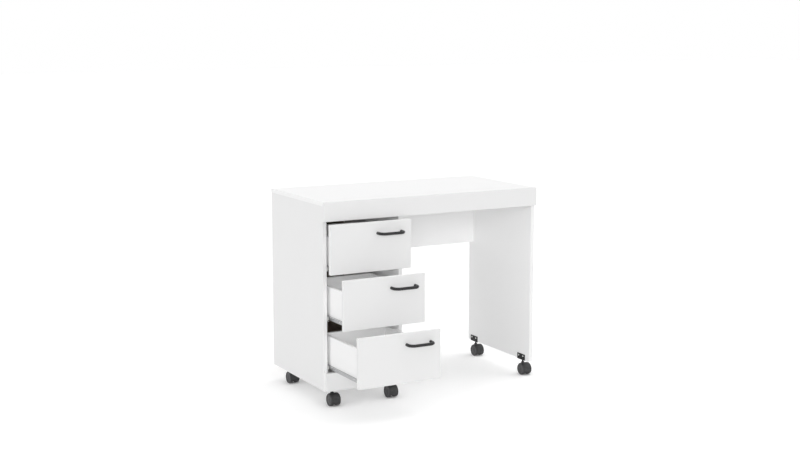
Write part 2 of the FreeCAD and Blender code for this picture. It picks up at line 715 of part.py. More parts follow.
def make_drawer(number):
    """One drawer: an overlay front, a box with a grooved-in bottom, its slides and handle."""
    bottom = at(f"front_bottom_{number}")
    opening = at(f"opening_{number}")
    face_y = f"{at('front_face')} - {opening}"
    back_of_front = f"{at('panel_front')} - {opening}"
    level = f"{bottom} + {at('front_height')} - {size('handle_drop')}"
    side_z = f"{bottom} + {size('side_lift')}"
    rear_inner = f"{back_of_front} + {at('drawer_length')} - {size('drawer_board')}"
    inner_left = f"{at('drawer_left')} + {size('drawer_board')}"
    inner_width = f"{at('drawer_width')} - 2 * {size('drawer_board')}"
    inner_length = f"{at('drawer_length')} - {size('drawer_board')}"
    side = (size("drawer_board"), at("drawer_length"), at("side_height"))
    prefix = f"drawer_{number}"
    blanks = {
        f"{prefix}_front": (
            (at("front_left"), face_y, bottom),
            (at("front_width"), size("board"), at("front_height")),
        ),
        f"{prefix}_left_side": ((at("drawer_left"), back_of_front, side_z), side),
        f"{prefix}_right_side": (
            (f"{at('drawer_right')} - {size('drawer_board')}", back_of_front, side_z),
            side,
        ),
        f"{prefix}_back": (
            (inner_left, rear_inner, side_z),
            (inner_width, size("drawer_board"), at("side_height")),
        ),
    }

    play = size("groove_play")
    reach = size("groove_depth")
    groove_z = f"{side_z} + {size('groove_lift')}"
    groove_corner = (f"{inner_left} - {reach}", f"{back_of_front} - {reach}", groove_z)
    groove_extent = (
        f"{inner_width} + 2 * {reach}",
        f"{inner_length} + 2 * {reach}",
        f"{size('drawer_sheet')} + 2 * {play}",
    )
    make_hole(blanks, box(f"{prefix}_groove", groove_corner, groove_extent))
    sheet_corner = tuple(f"{coordinate} + {play}" for coordinate in groove_corner)
    sheet_extent = tuple(f"{extent} - 2 * {play}" for extent in groove_extent)
    node(box(f"{prefix}_bottom", sheet_corner, sheet_extent))

    screws = make_handle_screws(number, back_of_front, level)
    screws += make_drawer_runners(number, back_of_front)
    node(group(f"{prefix}_screws", screws))
    make_handle(number, face_y, level)
    for name, (corner, extent) in blanks.items():
        node(cut(name, board(f"{name}_blank", corner, extent), holes[name]))


# --------------------------------------------------------------------------- casters
def wheel(name, centre, turn):
    """A wheel from its inner face outward, with eased edges and a dished outer face."""
    body = doc.addObject("PartDesign::Body", name)
    outline = body_sketch(body, f"{name}_outline", "YZ_Plane")
    draw_circle(outline, "tread", size("wheel_diameter"))
    pad = pad_sketch(body, outline, size("wheel_width"))
    round_edges(body, pad, size("wheel_edge"))
    dish = body_sketch(body, f"{name}_dish", "YZ_Plane")
    dish.setExpression("AttachmentOffset.Base.z", size("wheel_width"))
    draw_circle(dish, "rim", size("dish_diameter"))
    draw_circle(dish, "hub", size("hub_diameter"))
    doc.recompute()
    pocket = body.newObject("PartDesign::Pocket", f"{name}_pocket")
    pocket.Profile = dish
    bind(pocket, Length=size("dish_depth"))
    body.Placement.Rotation = Rotation(Vector(0, 0, 1), turn)
    place(body, centre)
    return body


def make_hood(name, stem_x, stem_y, axle_y):
    """The swivelling hood: a fender over the wheels, a web between them and a stem boss."""
    axle = (stem_x, axle_y, at("wheel_radius"))
    half_width = f"{at('caster_width')} / 2 - {size('fender_inset')}"
    half_web = f"{at('caster_web')} / 2"
    outside = f"2 * {at('fender_outside')}"
    fender = rod(f"{name}_fender", moved(axle, "-X", half_width), "+X", outside, f"2 * ({half_width})")
    fender.Angle = FENDER_SWEEP
    fender.Placement.Rotation = Rotation(Vector(1, 0, 0), FENDER_START) * DIRECTIONS["+X"]
    web_start = moved(axle, "-X", half_web)
    axle_boss = rod(f"{name}_axle_boss", web_start, "+X", size("axle_boss"), at("caster_web"))
    boss_start = (stem_x, stem_y, at("boss_top"))
    boss_length = f"{at('boss_top')} - {at('stem_foot')}"
    stem_boss = rod(f"{name}_stem_boss", boss_start, "-Z", size("stem_boss"), boss_length)
    solid = join(f"{name}_solid", [fender, axle_boss, stem_boss])

    inside = f"2 * {at('fender_inside')}"
    tools = []
    for direction in ("-X", "+X"):
        start = moved(axle, direction, half_web)
        tools.append(rod(f"{name}_well_{len(tools)}", start, direction, inside, half_width))
    stem_bore = f"{size('stem_diameter')} + 2 * {size('running_play')}"
    bore_start = (stem_x, stem_y, f"{at('stem_foot')} - {size('running_play')}")
    tools.append(rod(f"{name}_stem_bore", bore_start, "+Z", stem_bore, at("wheel_radius")))
    axle_bore = f"{size('axle_diameter')} + 2 * {size('running_play')}"
    tools.append(rod(f"{name}_axle_bore", web_start, "+X", axle_bore, at("caster_web")))
    node(cut(name, solid, tools))


def make_wheels(name, stem_x, axle_y):
    """Two wheels and the axle that they turn with."""
    axle_centre = (stem_x, axle_y, at("wheel_radius"))
    start = moved(axle_centre, "-X", f"{at('axle_length')} / 2")
    axle = rod(f"{name}_axle", start, "+X", size("axle_diameter"), at("axle_length"))
    bore_size = f"{size('axle_diameter')} + 2 * {size('hole_play')}"
    bore_start = moved(start, "-X", size("hole_play"))
    bore_length = f"{at('axle_length')} + 2 * {size('hole_play')}"
    bore = rod(f"{name}_bore", bore_start, "+X", bore_size, bore_length)
    pieces = [axle]
    for side, direction, turn in (("left", "-X", 180), ("right", "+X", 0)):
        inner_face = moved(axle_centre, direction, f"{size('wheel_gap')} / 2")
        blank = wheel(f"{name}_{side}_blank", inner_face, turn)
        pieces.append(cut(f"{name}_{side}", blank, [bore]))
    node(group(name, pieces))


def stem(name, x, y):
    """The riveted stem that a hood swivels on."""
    top = (x, y, at("mount_bottom"))
    collar = rod(f"{name}_collar", top, "-Z", size("stem_collar"), size("stem_collar_depth"))
    length = f"{at('mount_bottom')} - {at('stem_foot')}"
    return join(name, [collar, rod(f"{name}_shank", top, "-Z", size("stem_diameter"), length)])


def plate(name, x, y, pan_screws):
    """A screw-on plate under the cabinet bottom."""
    corner = (f"{x} - {size('plate_size')} / 2", f"{y} - {size('plate_size')} / 2", at("mount_bottom"))
    blank = box(f"{name}_blank", corner, (size("plate_size"), size("plate_size"), size("mount_metal")))
    half = f"{size('plate_screw_pitch')} / 2"
    for index, (side, end) in enumerate((("-X", "-Y"), ("+X", "-Y"), ("-X", "+Y"), ("+X", "+Y"))):
        seat = moved(moved((x, y, at("mount_bottom")), side, half), end, half)
        screw = pan_screw(f"{name}_screw_{index + 1}", seat, "+Z", [name, "cabinet_bottom"])
        pan_screws.append(screw)
    return cut(name, blank, holes[name])


def bracket(name, y, pan_screws):
    """An angle bracket that wraps the inner bottom edge of the right side panel."""
    x = f"{at('leg_inner_face')} - {size('mount_metal')}"
    corner = (x, f"{y} - {size('bracket_length')} / 2", at("mount_bottom"))
    foot_width = f"{size('board')} + {size('mount_metal')}"
    foot_extent = (foot_width, size("bracket_length"), size("mount_metal"))
    wall_height = f"{size('bracket_height')} + {size('mount_metal')}"
    foot = box(f"{name}_foot", corner, foot_extent)
    wall = box(f"{name}_wall", corner, (size("mount_metal"), size("bracket_length"), wall_height))
    level = f"{size('caster_height')} + {size('bracket_screw_lift')}"
    for index, direction in enumerate(("-Y", "+Y")):
        seat = moved((x, y, level), direction, f"{size('bracket_screw_pitch')} / 2")
        screw = pan_screw(f"{name}_screw_{index + 1}", seat, "+X", [name, "right_side_panel"])
        pan_screws.append(screw)
    return cut(name, join(f"{name}_blank", [foot, wall]), holes[name])


def make_casters(pan_screws):
    """Six casters: four on plates under the pedestal, two on brackets on the leg panel."""
    front_row = f"{at('front_face')} + {size('caster_front_inset')}"
    rear_row = f"{at('panel_back')} - {size('caster_rear_inset')}"
    left = f"{at('left_end')} + {size('caster_side_inset')}"
    middle = f"{at('cabinet_right')} - {size('caster_side_inset')}"
    right = f"{at('leg_inner_face')} + {size('board')} / 2"
    bracket_front = f"{at('front_face')} + {size('bracket_front_inset')}"
    bracket_rear = f"{at('panel_back')} - {size('bracket_rear_inset')}"
    casters = {
        "front_left": (left, front_row, "plate"),
        "front_middle": (middle, front_row, "plate"),
        "rear_left": (left, rear_row, "plate"),
        "rear_middle": (middle, rear_row, "plate"),
        "front_right": (right, bracket_front, "bracket"),
        "rear_right": (right, bracket_rear, "bracket"),
    }
    plates = []
    brackets = []
    for tag, (x, y, mount) in casters.items():
        axle_y = f"{y} - {size('caster_trail')}"
        make_hood(f"caster_hood_{tag}", x, y, axle_y)
        make_wheels(f"caster_wheels_{tag}", x, axle_y)
        if mount == "plate":
            plates.append(plate(f"plate_{tag}", x, y, pan_screws))
            plates.append(stem(f"stem_{tag}", x, y))
        else:
            brackets.append(bracket(f"bracket_{tag}", y, pan_screws))
            brackets.append(stem(f"stem_{tag}", x, y))
    node(group("caster_plates", plates))
    node(group("caster_brackets", brackets))


# --------------------------------------------------------------------- build and write
def check_and_export():
    doc.recompute()
    failed = [obj.Name for obj in doc.Objects if "Invalid" in obj.State or "Error" in obj.State]
    if failed:
        raise RuntimeError(f"these objects failed: {failed}")
    os.makedirs("parts", exist_ok=True)
    for obj in nodes:
        if obj.Shape.isNull() or not obj.Shape.isValid() or not obj.Shape.Solids:
            raise RuntimeError(f"{obj.Label} has no valid solid")
    for obj in nodes:
        obj.Shape.exportStep(f"parts/{obj.Label}.step")
    print(f"{len(nodes)} sub-parts, {sum(len(obj.Shape.Solids) for obj in nodes)} solids")


fill_sheet("Sizes", {alias: str(value) for alias, value in SIZES.items()})
fill_sheet("Places", {alias: f"={formula}" for alias, formula in PLACES.items()})
doc.recompute()

boards = make_carcass_boards()
make_cabinet_back()
make_cam_fittings()
make_dowels()
steel_screws = []
for number in DRAWERS:
    make_cabinet_rails(number, steel_screws)
    make_drawer(number)
make_casters(steel_screws)
node(group("pan_head_screws", steel_screws))
for name, blank in boards.items():
    node(cut(name, blank, holes[name]))
check_and_export()
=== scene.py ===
"""A sewing table on casters: its finishes, small fittings, studio and camera.

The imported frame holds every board, drawer and slide. This script gives each of them
its finish, builds the casters and the screws in full detail, and sets the table on a
pale floor in soft light.
"""

import json
import logging
import math
from dataclasses import dataclass, field
from enum import Enum
from typing import Any, Dict, Iterable, List, Mapping, Optional, Sequence, Tuple, Union

import bmesh
import bpy
from mathutils import Matrix, Vector


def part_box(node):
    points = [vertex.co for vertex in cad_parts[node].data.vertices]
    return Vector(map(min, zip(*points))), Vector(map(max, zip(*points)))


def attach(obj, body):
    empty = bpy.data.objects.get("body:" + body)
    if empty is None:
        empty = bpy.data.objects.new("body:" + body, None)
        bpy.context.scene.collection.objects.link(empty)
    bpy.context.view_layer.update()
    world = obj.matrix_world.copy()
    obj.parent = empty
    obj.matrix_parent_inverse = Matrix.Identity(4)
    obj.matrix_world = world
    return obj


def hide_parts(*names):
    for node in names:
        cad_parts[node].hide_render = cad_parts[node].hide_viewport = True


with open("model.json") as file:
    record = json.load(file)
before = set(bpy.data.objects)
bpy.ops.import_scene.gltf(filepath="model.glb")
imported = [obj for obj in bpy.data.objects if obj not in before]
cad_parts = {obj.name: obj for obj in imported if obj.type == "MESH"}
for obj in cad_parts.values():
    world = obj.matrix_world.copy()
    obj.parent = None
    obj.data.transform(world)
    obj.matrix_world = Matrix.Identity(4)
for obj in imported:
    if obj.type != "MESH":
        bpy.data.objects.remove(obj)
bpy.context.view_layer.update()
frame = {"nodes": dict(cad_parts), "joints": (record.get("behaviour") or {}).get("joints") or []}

log = logging.getLogger("sewing_table")

MM = 0.001
ON_AXIS = 1e-6
SHARP_DEGREES = 38.0
Point = Tuple[float, float, float]
Colour = Tuple[float, float, float]
Profile = Sequence[Tuple[float, float]]


# ------------------------------------------------------------------------ vocabulary
class Slot(Enum):
    """The record's material slots."""

    LAMINATE = "white_laminate"
    HARDBOARD = "brown_hardboard"
    SLIDE = "slide_steel"
    HANDLE = "handle_metal"
    HOOD = "caster_plastic"
    WHEEL = "wheel_plastic"
    MOUNT = "mount_steel"
    ZINC = "zinc_fittings"
    NYLON = "roller_nylon"
    DOWEL = "dowel_wood"


class Body(Enum):
    """The bodies that new pieces ride on and that have a fixed name."""

    CARCASS = "carcass"


class Bay(Enum):
    """The three drawers, from the top down."""

    TOP = 1
    MIDDLE = 2
    BOTTOM = 3


class Corner(Enum):
    """Where each caster stands."""

    FRONT_LEFT = "front_left"
    FRONT_MIDDLE = "front_middle"
    FRONT_RIGHT = "front_right"
    REAR_LEFT = "rear_left"
    REAR_MIDDLE = "rear_middle"
    REAR_RIGHT = "rear_right"


class Drive(Enum):
    """How a screw's head is shaped."""

    PAN = "pan"
    CHEESE = "cheese"


# ---------------------------------------------------------------------- shader maths
class Wire:
    """One output of a shader node, with arithmetic that adds Math nodes."""

    def __init__(self, graph: "Graph", output: bpy.types.NodeSocket) -> None:
        """Wraps an output.

        Args:
            graph: the graph that holds the node.
            output: the node's output socket.
        """
        self.graph = graph
        self.output = output

    def _math(self, operation: str, *values: "Value") -> "Wire":
        """Adds a Math node over the values, in order."""
        return self.graph.add("ShaderNodeMath", {"operation": operation}, dict(enumerate(values)))

    def __add__(self, other: "Value") -> "Wire":
        """self + other."""
        return self._math("ADD", self, other)

    __radd__ = __add__

    def __sub__(self, other: "Value") -> "Wire":
        """self - other."""
        return self._math("SUBTRACT", self, other)

    def __rsub__(self, other: "Value") -> "Wire":
        """other - self."""
        return self._math("SUBTRACT", other, self)

    def __mul__(self, other: "Value") -> "Wire":
        """self * other."""
        return self._math("MULTIPLY", self, other)

    __rmul__ = __mul__

    def __abs__(self) -> "Wire":
        """The size of self without its sign."""
        return self._math("ABSOLUTE", self)

    def __lt__(self, other: "Value") -> "Wire":
        """1 where self is less than other, and 0 elsewhere."""
        return self._math("LESS_THAN", self, other)

    def __gt__(self, other: "Value") -> "Wire":
        """1 where self is more than other, and 0 elsewhere."""
        return self._math("GREATER_THAN", self, other)

    def least(self, other: "Value") -> "Wire":
        """The lesser of self and other."""
        return self._math("MINIMUM", self, other)

    def most(self, other: "Value") -> "Wire":
        """The greater of self and other."""
        return self._math("MAXIMUM", self, other)

    def ease(self, low: float, high: float) -> "Wire":
        """A smooth step.

        Args:
            low: where it leaves 0.
            high: where it reaches 1.

        Returns:
            0 below low, 1 above high, and a smooth rise between.
        """
        settings = {"interpolation_type": "SMOOTHSTEP", "clamp": True}
        inputs = {"Value": self, "From Min": low, "From Max": high}
        return self.graph.add("ShaderNodeMapRange", settings, inputs)

    def blend(self, none: "Tint", full: "Tint") -> "Wire":
        """A colour between two others, with self as the share of the second.

        Args:
            none: the colour where self is 0.
            full: the colour where self is 1.

        Returns:
            The mixed colour.
        """
        settings = {"data_type": "RGBA", "blend_type": "MIX", "clamp_factor": True}
        inputs = {"Factor": self, "A": rgba(none), "B": rgba(full)}
        return self.graph.add("ShaderNodeMix", settings, inputs, output="Result")


Value = Union[float, Wire]
Tint = Union[Colour, Wire]


def rgba(tint: Tint) -> Union[Wire, Tuple[float, ...]]:
    """The tint with an alpha of 1 if it is a plain colour."""
    return tint if isinstance(tint, Wire) else (*tint, 1.0)


class Graph:
    """The node tree of a material or a world, where one method adds every node."""

    def __init__(self, name: str, is_world: bool = False) -> None:
        """Makes an empty material or world.

        Args:
            name: its name.
            is_world: whether it is a world.
        """
        self.owner = (bpy.data.worlds if is_world else bpy.data.materials).new(name)
        self.owner.use_nodes = True
        self.tree = self.owner.node_tree
        self.tree.nodes.clear()

    def add(
        self,
        kind: str,
        settings: Optional[Mapping[str, Any]] = None,
        inputs: Optional[Mapping[Union[int, str], Any]] = None,
        output: Union[int, str] = 0,
    ) -> Optional[Wire]:
        """Adds a node, sets it up and feeds its sockets.

        Args:
            kind: the node's type, such as ShaderNodeMath.
            settings: its properties, which are set first.
            inputs: values or wires by socket name or number.
            output: the name or number of the output that is returned.

        Returns:
            The chosen output, or None from a node that has no output.
        """
        node = self.tree.nodes.new(kind)
        for name, setting in (settings or {}).items():
            setattr(node, name, setting)
        for name, value in (inputs or {}).items():
            self.feed(self._socket(node.inputs, name), value)
        return Wire(self, self._socket(node.outputs, output)) if node.outputs else None

    @staticmethod
    def _socket(sockets: Sequence[bpy.types.NodeSocket], name: Union[int, str]) -> bpy.types.NodeSocket:
        """Finds a socket.

        Args:
            sockets: a node's inputs or outputs.
            name: the socket's number, or its name as the node's settings enable it.

        Returns:
            The socket.
        """
        if isinstance(name, int):
            return sockets[name]
        return next(s for s in sockets if s.name == name and s.enabled)

    def feed(self, socket: bpy.types.NodeSocket, value: Any) -> None:
        """Gives a socket what it needs.

        Args:
            socket: the input to feed.
            value: a wire to link, or the socket's own value.
        """
        if isinstance(value, Wire):
            self.tree.links.new(value.output, socket)
        elif value is not None:
            socket.default_value = value

    def place(self) -> Wire:
        """The point on the object, in metres in the table's own frame."""
        return self.add("ShaderNodeTexCoord", output="Object")

    def axes(self, vector: Wire) -> Tuple[Wire, Wire, Wire]:
        """The X, Y and Z of a vector."""
        split = self.add("ShaderNodeSeparateXYZ", inputs={0: vector}).output.node
        return tuple(Wire(self, output) for output in split.outputs)

    def sight(self) -> Wire:
        """Tells what is seen from what only lights.

        Returns:
            1 for a ray from the camera or one that a glossy or clear surface passes on.
        """
        names = ("Is Camera Ray", "Is Glossy Ray", "Is Transmission Ray")
        straight, mirrored, refracted = (self.add("ShaderNodeLightPath", output=name) for name in names)
        return straight.most(mirrored).most(refracted)

    def scaled(self, vector: Wire, scale: Point) -> Wire:
        """The vector with each axis stretched."""
        return self.add("ShaderNodeVectorMath", {"operation": "MULTIPLY"}, {0: vector, 1: scale})

    def noise(self, vector: Wire, scale: float, detail: float = 3.0, roughness: float = 0.5) -> Wire:
        """Cloudy noise between 0 and 1.

        Args:
            vector: where to sample, in metres.
            scale: clouds per metre.
            detail: how many finer layers are added.
            roughness: how strong those layers are.

        Returns:
            The noise.
        """
        inputs = {"Vector": vector, "Scale": scale, "Detail": detail, "Roughness": roughness}
        return self.add("ShaderNodeTexNoise", {"noise_dimensions": "3D"}, inputs)

    def cells(self, vector: Wire, scale: float, feature: str = "F1", output: str = "Distance") -> Wire:
        """Cell noise: the distance to a cell's centre, or its random colour."""
        settings = {"voronoi_dimensions": "3D", "feature": feature}
        return self.add("ShaderNodeTexVoronoi", settings, {"Vector": vector, "Scale": scale}, output)

    def relief(self, height: Wire, depth_mm: float, strength: float = 1.0) -> Wire:
        """A bumped normal from a height between 0 and 1.

        Args:
            height: the relief.
            depth_mm: how deep a height of 1 is.
            strength: how much of the relief shows.

        Returns:
            The normal.
        """
        inputs = {"Strength": strength, "Distance": depth_mm * MM, "Height": height}
        return self.add("ShaderNodeBump", inputs=inputs)

    def surface(self, **inputs: Any) -> bpy.types.Material:
        """Closes the graph with a Principled shader.

        Args:
            inputs: its sockets by name, with an underscore for each space.

        Returns:
            The finished material.
        """
        named = {name.replace("_", " "): value for name, value in inputs.items()}
        shader = self.add("ShaderNodeBsdfPrincipled", inputs=named)
        self.add("ShaderNodeOutputMaterial", inputs={"Surface": shader})
        return self.owner


# -------------------------------------------------------------------------- finishes
@dataclass(frozen=True)
class Laminate:
    """White melamine on particle board, with a thin edge band on its narrow faces.

    The board's own box tells the wide faces from the banded ones, and shows the raw
    chips wherever a bore or a groove opens the board.
    """

    low: Point
    high: Point
    white: Colour
    seam: Colour = (0.74, 0.74, 0.73)
    chips_dark: Colour = (0.36, 0.25, 0.15)
    chips_light: Colour = (0.66, 0.52, 0.36)
    face_mm: float = 0.3
    skin_mm: float = 0.35
    band_mm: float = 0.5
    seam_mm: float = 0.12
    mottled: float = 0.985
    roughness: float = 0.6
    specular: float = 0.25
    texture_mm: float = 0.02
    mottle_per_metre: float = 9.0
    rub_per_metre: float = 28.0
    chips_per_metre: float = 420.0
    peel_per_metre: float = 900.0

    def material(self, name: str) -> bpy.types.Material:
        """Makes the finish for one board.

        Args:
            name: the material's name.

        Returns:
            The material.
        """
        graph = Graph(name)
        where = graph.place()
        depths = [
            (axis - low).least(high - axis)
            for axis, low, high in zip(graph.axes(where), self.low, self.high)
        ]
        spans = [high - low for low, high in zip(self.low, self.high)]
        thin = spans.index(min(spans))
        wide = [depth for index, depth in enumerate(depths) if index != thin]
        to_edge = wide[0].least(wide[1])
        on_wide_face = depths[thin] < self.face_mm * MM
        off_seam = abs(to_edge - self.band_mm * MM)
        seam = (1.0 - off_seam.ease(0.3 * self.seam_mm * MM, self.seam_mm * MM)) * on_wide_face
        opened = to_edge.least(depths[thin]) > self.skin_mm * MM

        mottle = graph.noise(where, self.mottle_per_metre, 4.0)
        peel = graph.noise(where, self.peel_per_metre, 2.0)
        rub = graph.noise(graph.scaled(where, (1.0, 1.0, 0.35)), self.rub_per_metre, 5.0, 0.6)
        chips = graph.cells(graph.scaled(where, (1.0, 1.0, 1.6)), self.chips_per_metre, output="Color")
        chip_tone = graph.add("ShaderNodeSeparateColor", inputs={0: chips})
        face = (mottle * 0.5).blend(self.white, tuple(c * self.mottled for c in self.white))
        face = (seam * 0.75).blend(face, self.seam)
        core = chip_tone.blend(self.chips_dark, self.chips_light)
        roughness = self.roughness + (rub - 0.5) * 0.1 + seam * 0.2 + opened * 0.4
        height = peel + seam * -2.0 + opened * chip_tone * 6.0
        return graph.surface(
            Base_Color=opened.blend(face, core),
            Roughness=roughness,
            Specular_IOR_Level=self.specular,
            Normal=graph.relief(height, self.texture_mm, 0.6),
        )


@dataclass(frozen=True)
class Hardboard:
    """Brown pressed hardboard: smooth with fine fibres."""

    dark: Colour = (0.12, 0.092, 0.07)
    light: Colour = (0.24, 0.19, 0.15)
    fibres_per_metre: float = 260.0
    clouds_per_metre: float = 14.0
    mesh_per_metre: float = 700.0

    def material(self, name: str) -> bpy.types.Material:
        """Makes the finish.

        Args:
            name: the material's name.

        Returns:
            The material.
        """
        graph = Graph(name)
        where = graph.place()
        fibres = graph.noise(graph.scaled(where, (1.0, 1.0, 3.0)), self.fibres_per_metre, 6.0, 0.7)
        clouds = graph.noise(where, self.clouds_per_metre, 3.0)
        mesh = graph.cells(where, self.mesh_per_metre)
        return graph.surface(
            Base_Color=(fibres * 0.7 + clouds * 0.3).ease(0.3, 0.7).blend(self.dark, self.light),
            Roughness=0.55 + (fibres - 0.5) * 0.3,
            Normal=graph.relief(fibres + mesh * 0.4, 0.08, 0.7),
        )


@dataclass(frozen=True)
class SheetSteel:
    """Zinc-plated sheet, drawn along its length: faint lines, spangle and oil marks."""

    dull: Colour = (0.38, 0.385, 0.39)
    bright: Colour = (0.52, 0.525, 0.53)
    roughness: float = 0.38
    metallic: float = 0.75
    lines_per_metre: float = 1500.0
    spangles_per_metre: float = 240.0
    smudges_per_metre: float = 22.0

    def material(self, name: str) -> bpy.types.Material:
        """Makes the finish.

        Args:
            name: the material's name.

        Returns:
            The material.
        """
        graph = Graph(name)
        where = graph.place()
        drawn = graph.noise(graph.scaled(where, (1.0, 0.03, 1.0)), self.lines_per_metre, 4.0, 0.6)
        spangle = graph.cells(where, self.spangles_per_metre, output="Color")
        facet = graph.add("ShaderNodeSeparateColor", inputs={0: spangle})
        smudge = graph.noise(where, self.smudges_per_metre, 4.0)
        return graph.surface(
            Base_Color=(facet * 0.35 + smudge * 0.65).blend(self.dull, self.bright),
            Metallic=self.metallic,
            Roughness=self.roughness + (smudge - 0.5) * 0.2 + (drawn - 0.5) * 0.12,
            Normal=graph.relief(drawn, 0.02, 0.5),
        )


@dataclass(frozen=True)
class SatinPaint:
    """A satin powder coat on metal, with a fine peel and slightly rubbed high spots."""

    base: Colour = (0.022, 0.022, 0.023)
    rubbed: Colour = (0.036, 0.036, 0.038)
    roughness: float = 0.42
    specular: float = 0.35
    metallic: float = 0.1
    peel_per_metre: float = 2200.0
    rub_per_metre: float = 120.0

    def material(self, name: str) -> bpy.types.Material:
        """Makes the finish.

        Args:
            name: the material's name.

        Returns:
            The material.
        """
        graph = Graph(name)
        where = graph.place()
        peel = graph.noise(where, self.peel_per_metre, 2.0)
        rub = graph.noise(where, self.rub_per_metre, 5.0, 0.65)
        return graph.surface(
            Base_Color=rub.ease(0.45, 0.75).blend(self.base, self.rubbed),
            Metallic=self.metallic,
            Roughness=self.roughness + (rub - 0.5) * 0.16,
            Specular_IOR_Level=self.specular,
            Normal=graph.relief(peel, 0.03, 0.5),
        )


@dataclass(frozen=True)
class MouldedPlastic:
    """Moulded nylon with a fine spark grain, and dust where it meets the floor."""

    base: Colour = (0.03, 0.03, 0.031)
    pale: Colour = (0.05, 0.05, 0.052)
    dust: Colour = (0.11, 0.108, 0.104)
    dust_height_mm: float = 6.0
    roughness: float = 0.5
    specular: float = 0.45
    grain_per_metre: float = 3200.0
    flow_per_metre: float = 90.0

    def material(self, name: str) -> bpy.types.Material:
        """Makes the finish.

        Args:
            name: the material's name.

        Returns:
            The material.
        """
        graph = Graph(name)
        where = graph.place()
        height = graph.axes(where)[2]
        grain = graph.noise(where, self.grain_per_metre, 2.0)
        flow = graph.noise(where, self.flow_per_metre, 4.0, 0.6)
        settled = (1.0 - height.ease(0.0, self.dust_height_mm * MM)) * flow.ease(0.35, 0.7)
        plastic = flow.ease(0.35, 0.7).blend(self.base, self.pale)
        return graph.surface(
            Base_Color=(settled * 0.5).blend(plastic, self.dust),
            Roughness=self.roughness + (flow - 0.5) * 0.2 + settled * 0.25,
            Specular_IOR_Level=self.specular,
            Normal=graph.relief(grain, 0.03, 0.6),
        )


@dataclass(frozen=True)
class BrightZinc:
    """Bright zinc plate on small fittings, with faint turning marks."""

    dull: Colour = (0.64, 0.64, 0.62)
    bright: Colour = (0.86, 0.86, 0.84)
    roughness: float = 0.28
    metallic: float = 0.9
    tarnish_per_metre: float = 400.0
    turning_per_metre: float = 5200.0

    def material(self, name: str) -> bpy.types.Material:
        """Makes the finish.

        Args:
            name: the material's name.

        Returns:
            The material.
        """
        graph = Graph(name)
        where = graph.place()
        tarnish = graph.noise(where, self.tarnish_per_metre, 4.0, 0.6)
        turning = graph.noise(where, self.turning_per_metre, 2.0)
        return graph.surface(
            Base_Color=tarnish.ease(0.3, 0.7).blend(self.dull, self.bright),
            Metallic=self.metallic,
            Roughness=self.roughness + (tarnish - 0.5) * 0.25,
            Normal=graph.relief(turning, 0.02, 0.4),
        )


@dataclass(frozen=True)
class Nylon:
    """Slightly yellowed white nylon with a patchy film of grease."""

    clean: Colour = (0.78, 0.78, 0.75)
    greasy: Colour = (0.45, 0.43, 0.38)
    film_per_metre: float = 160.0
    grain_per_metre: float = 3000.0

    def material(self, name: str) -> bpy.types.Material:
        """Makes the finish.

        Args:
            name: the material's name.

        Returns:
            The material.
        """
        graph = Graph(name)
        where = graph.place()
        film = graph.noise(where, self.film_per_metre, 4.0, 0.6)
        grain = graph.noise(where, self.grain_per_metre, 2.0)
        return graph.surface(
            Base_Color=(film.ease(0.5, 0.8) * 0.5).blend(self.clean, self.greasy),
            Roughness=0.42 - film * 0.14,
            Normal=graph.relief(grain, 0.02, 0.4),
        )


@dataclass(frozen=True)
class Beech:
    """Fluted beech dowels: pale wood with the grain along Y."""

    pale: Colour = (0.62, 0.46, 0.28)
    dark: Colour = (0.42, 0.28, 0.15)
    grain_per_metre: float = 1400.0

    def material(self, name: str) -> bpy.types.Material:
        """Makes the finish.

        Args:
            name: the material's name.

        Returns:
            The material.
        """
        graph = Graph(name)
        where = graph.place()
        grain = graph.noise(graph.scaled(where, (1.0, 0.08, 1.0)), self.grain_per_metre, 5.0, 0.65)
        return graph.surface(
            Base_Color=grain.ease(0.3, 0.75).blend(self.pale, self.dark),
            Roughness=0.6 + (grain - 0.5) * 0.2,
            Normal=graph.relief(grain, 0.05, 0.6),
        )


Finish = Union[Laminate, Hardboard, SheetSteel, SatinPaint, MouldedPlastic, BrightZinc, Nylon, Beech]

# Painted light and shade: every board is the same white laminate, given in two tones. The front faces and
# the left side, which the lamps light most, take the darker tone as painted shade. The other boards, many of
# them in shade under the top and in the drawers, take the paler tone.
BOARD_WHITE: Colour = (0.94, 0.94, 0.94)
FACE_WHITE_PAINTED_SHADE: Colour = (0.86, 0.86, 0.86)
HOOD_PLASTIC = MouldedPlastic(base=(0.03, 0.03, 0.031), pale=(0.048, 0.048, 0.049))
WHEEL_PLASTIC = MouldedPlastic(base=(0.055, 0.055, 0.057), pale=(0.08, 0.08, 0.082))
MOUNT_PAINT = SatinPaint(base=(0.01, 0.01, 0.0105), rubbed=(0.02, 0.02, 0.0205), specular=0.22)
CAM_METAL = BrightZinc(dull=(0.34, 0.34, 0.33), bright=(0.48, 0.48, 0.46), roughness=0.45)


# -------------------------------------------------------------------------- dressing
def dress_node(node: str, finish: Finish) -> None:
    """Gives a CAD node its finish.

    Args:
        node: the node's name.
        finish: the finish that all its faces get.
    """
    obj = frame["nodes"][node]
    material = finish.material(f"{node}_finish")
    if not obj.material_slots:
        obj.data.materials.append(material)
    for material_slot in obj.material_slots:
        material_slot.material = material
    log.info("dressed %s", node)


def dress_board(node: str, white: Colour = BOARD_WHITE) -> None:
    """Gives a CAD board the laminate that fits its own box."""
    low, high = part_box(node)
    dress_node(node, Laminate(low=tuple(low), high=tuple(high), white=white))


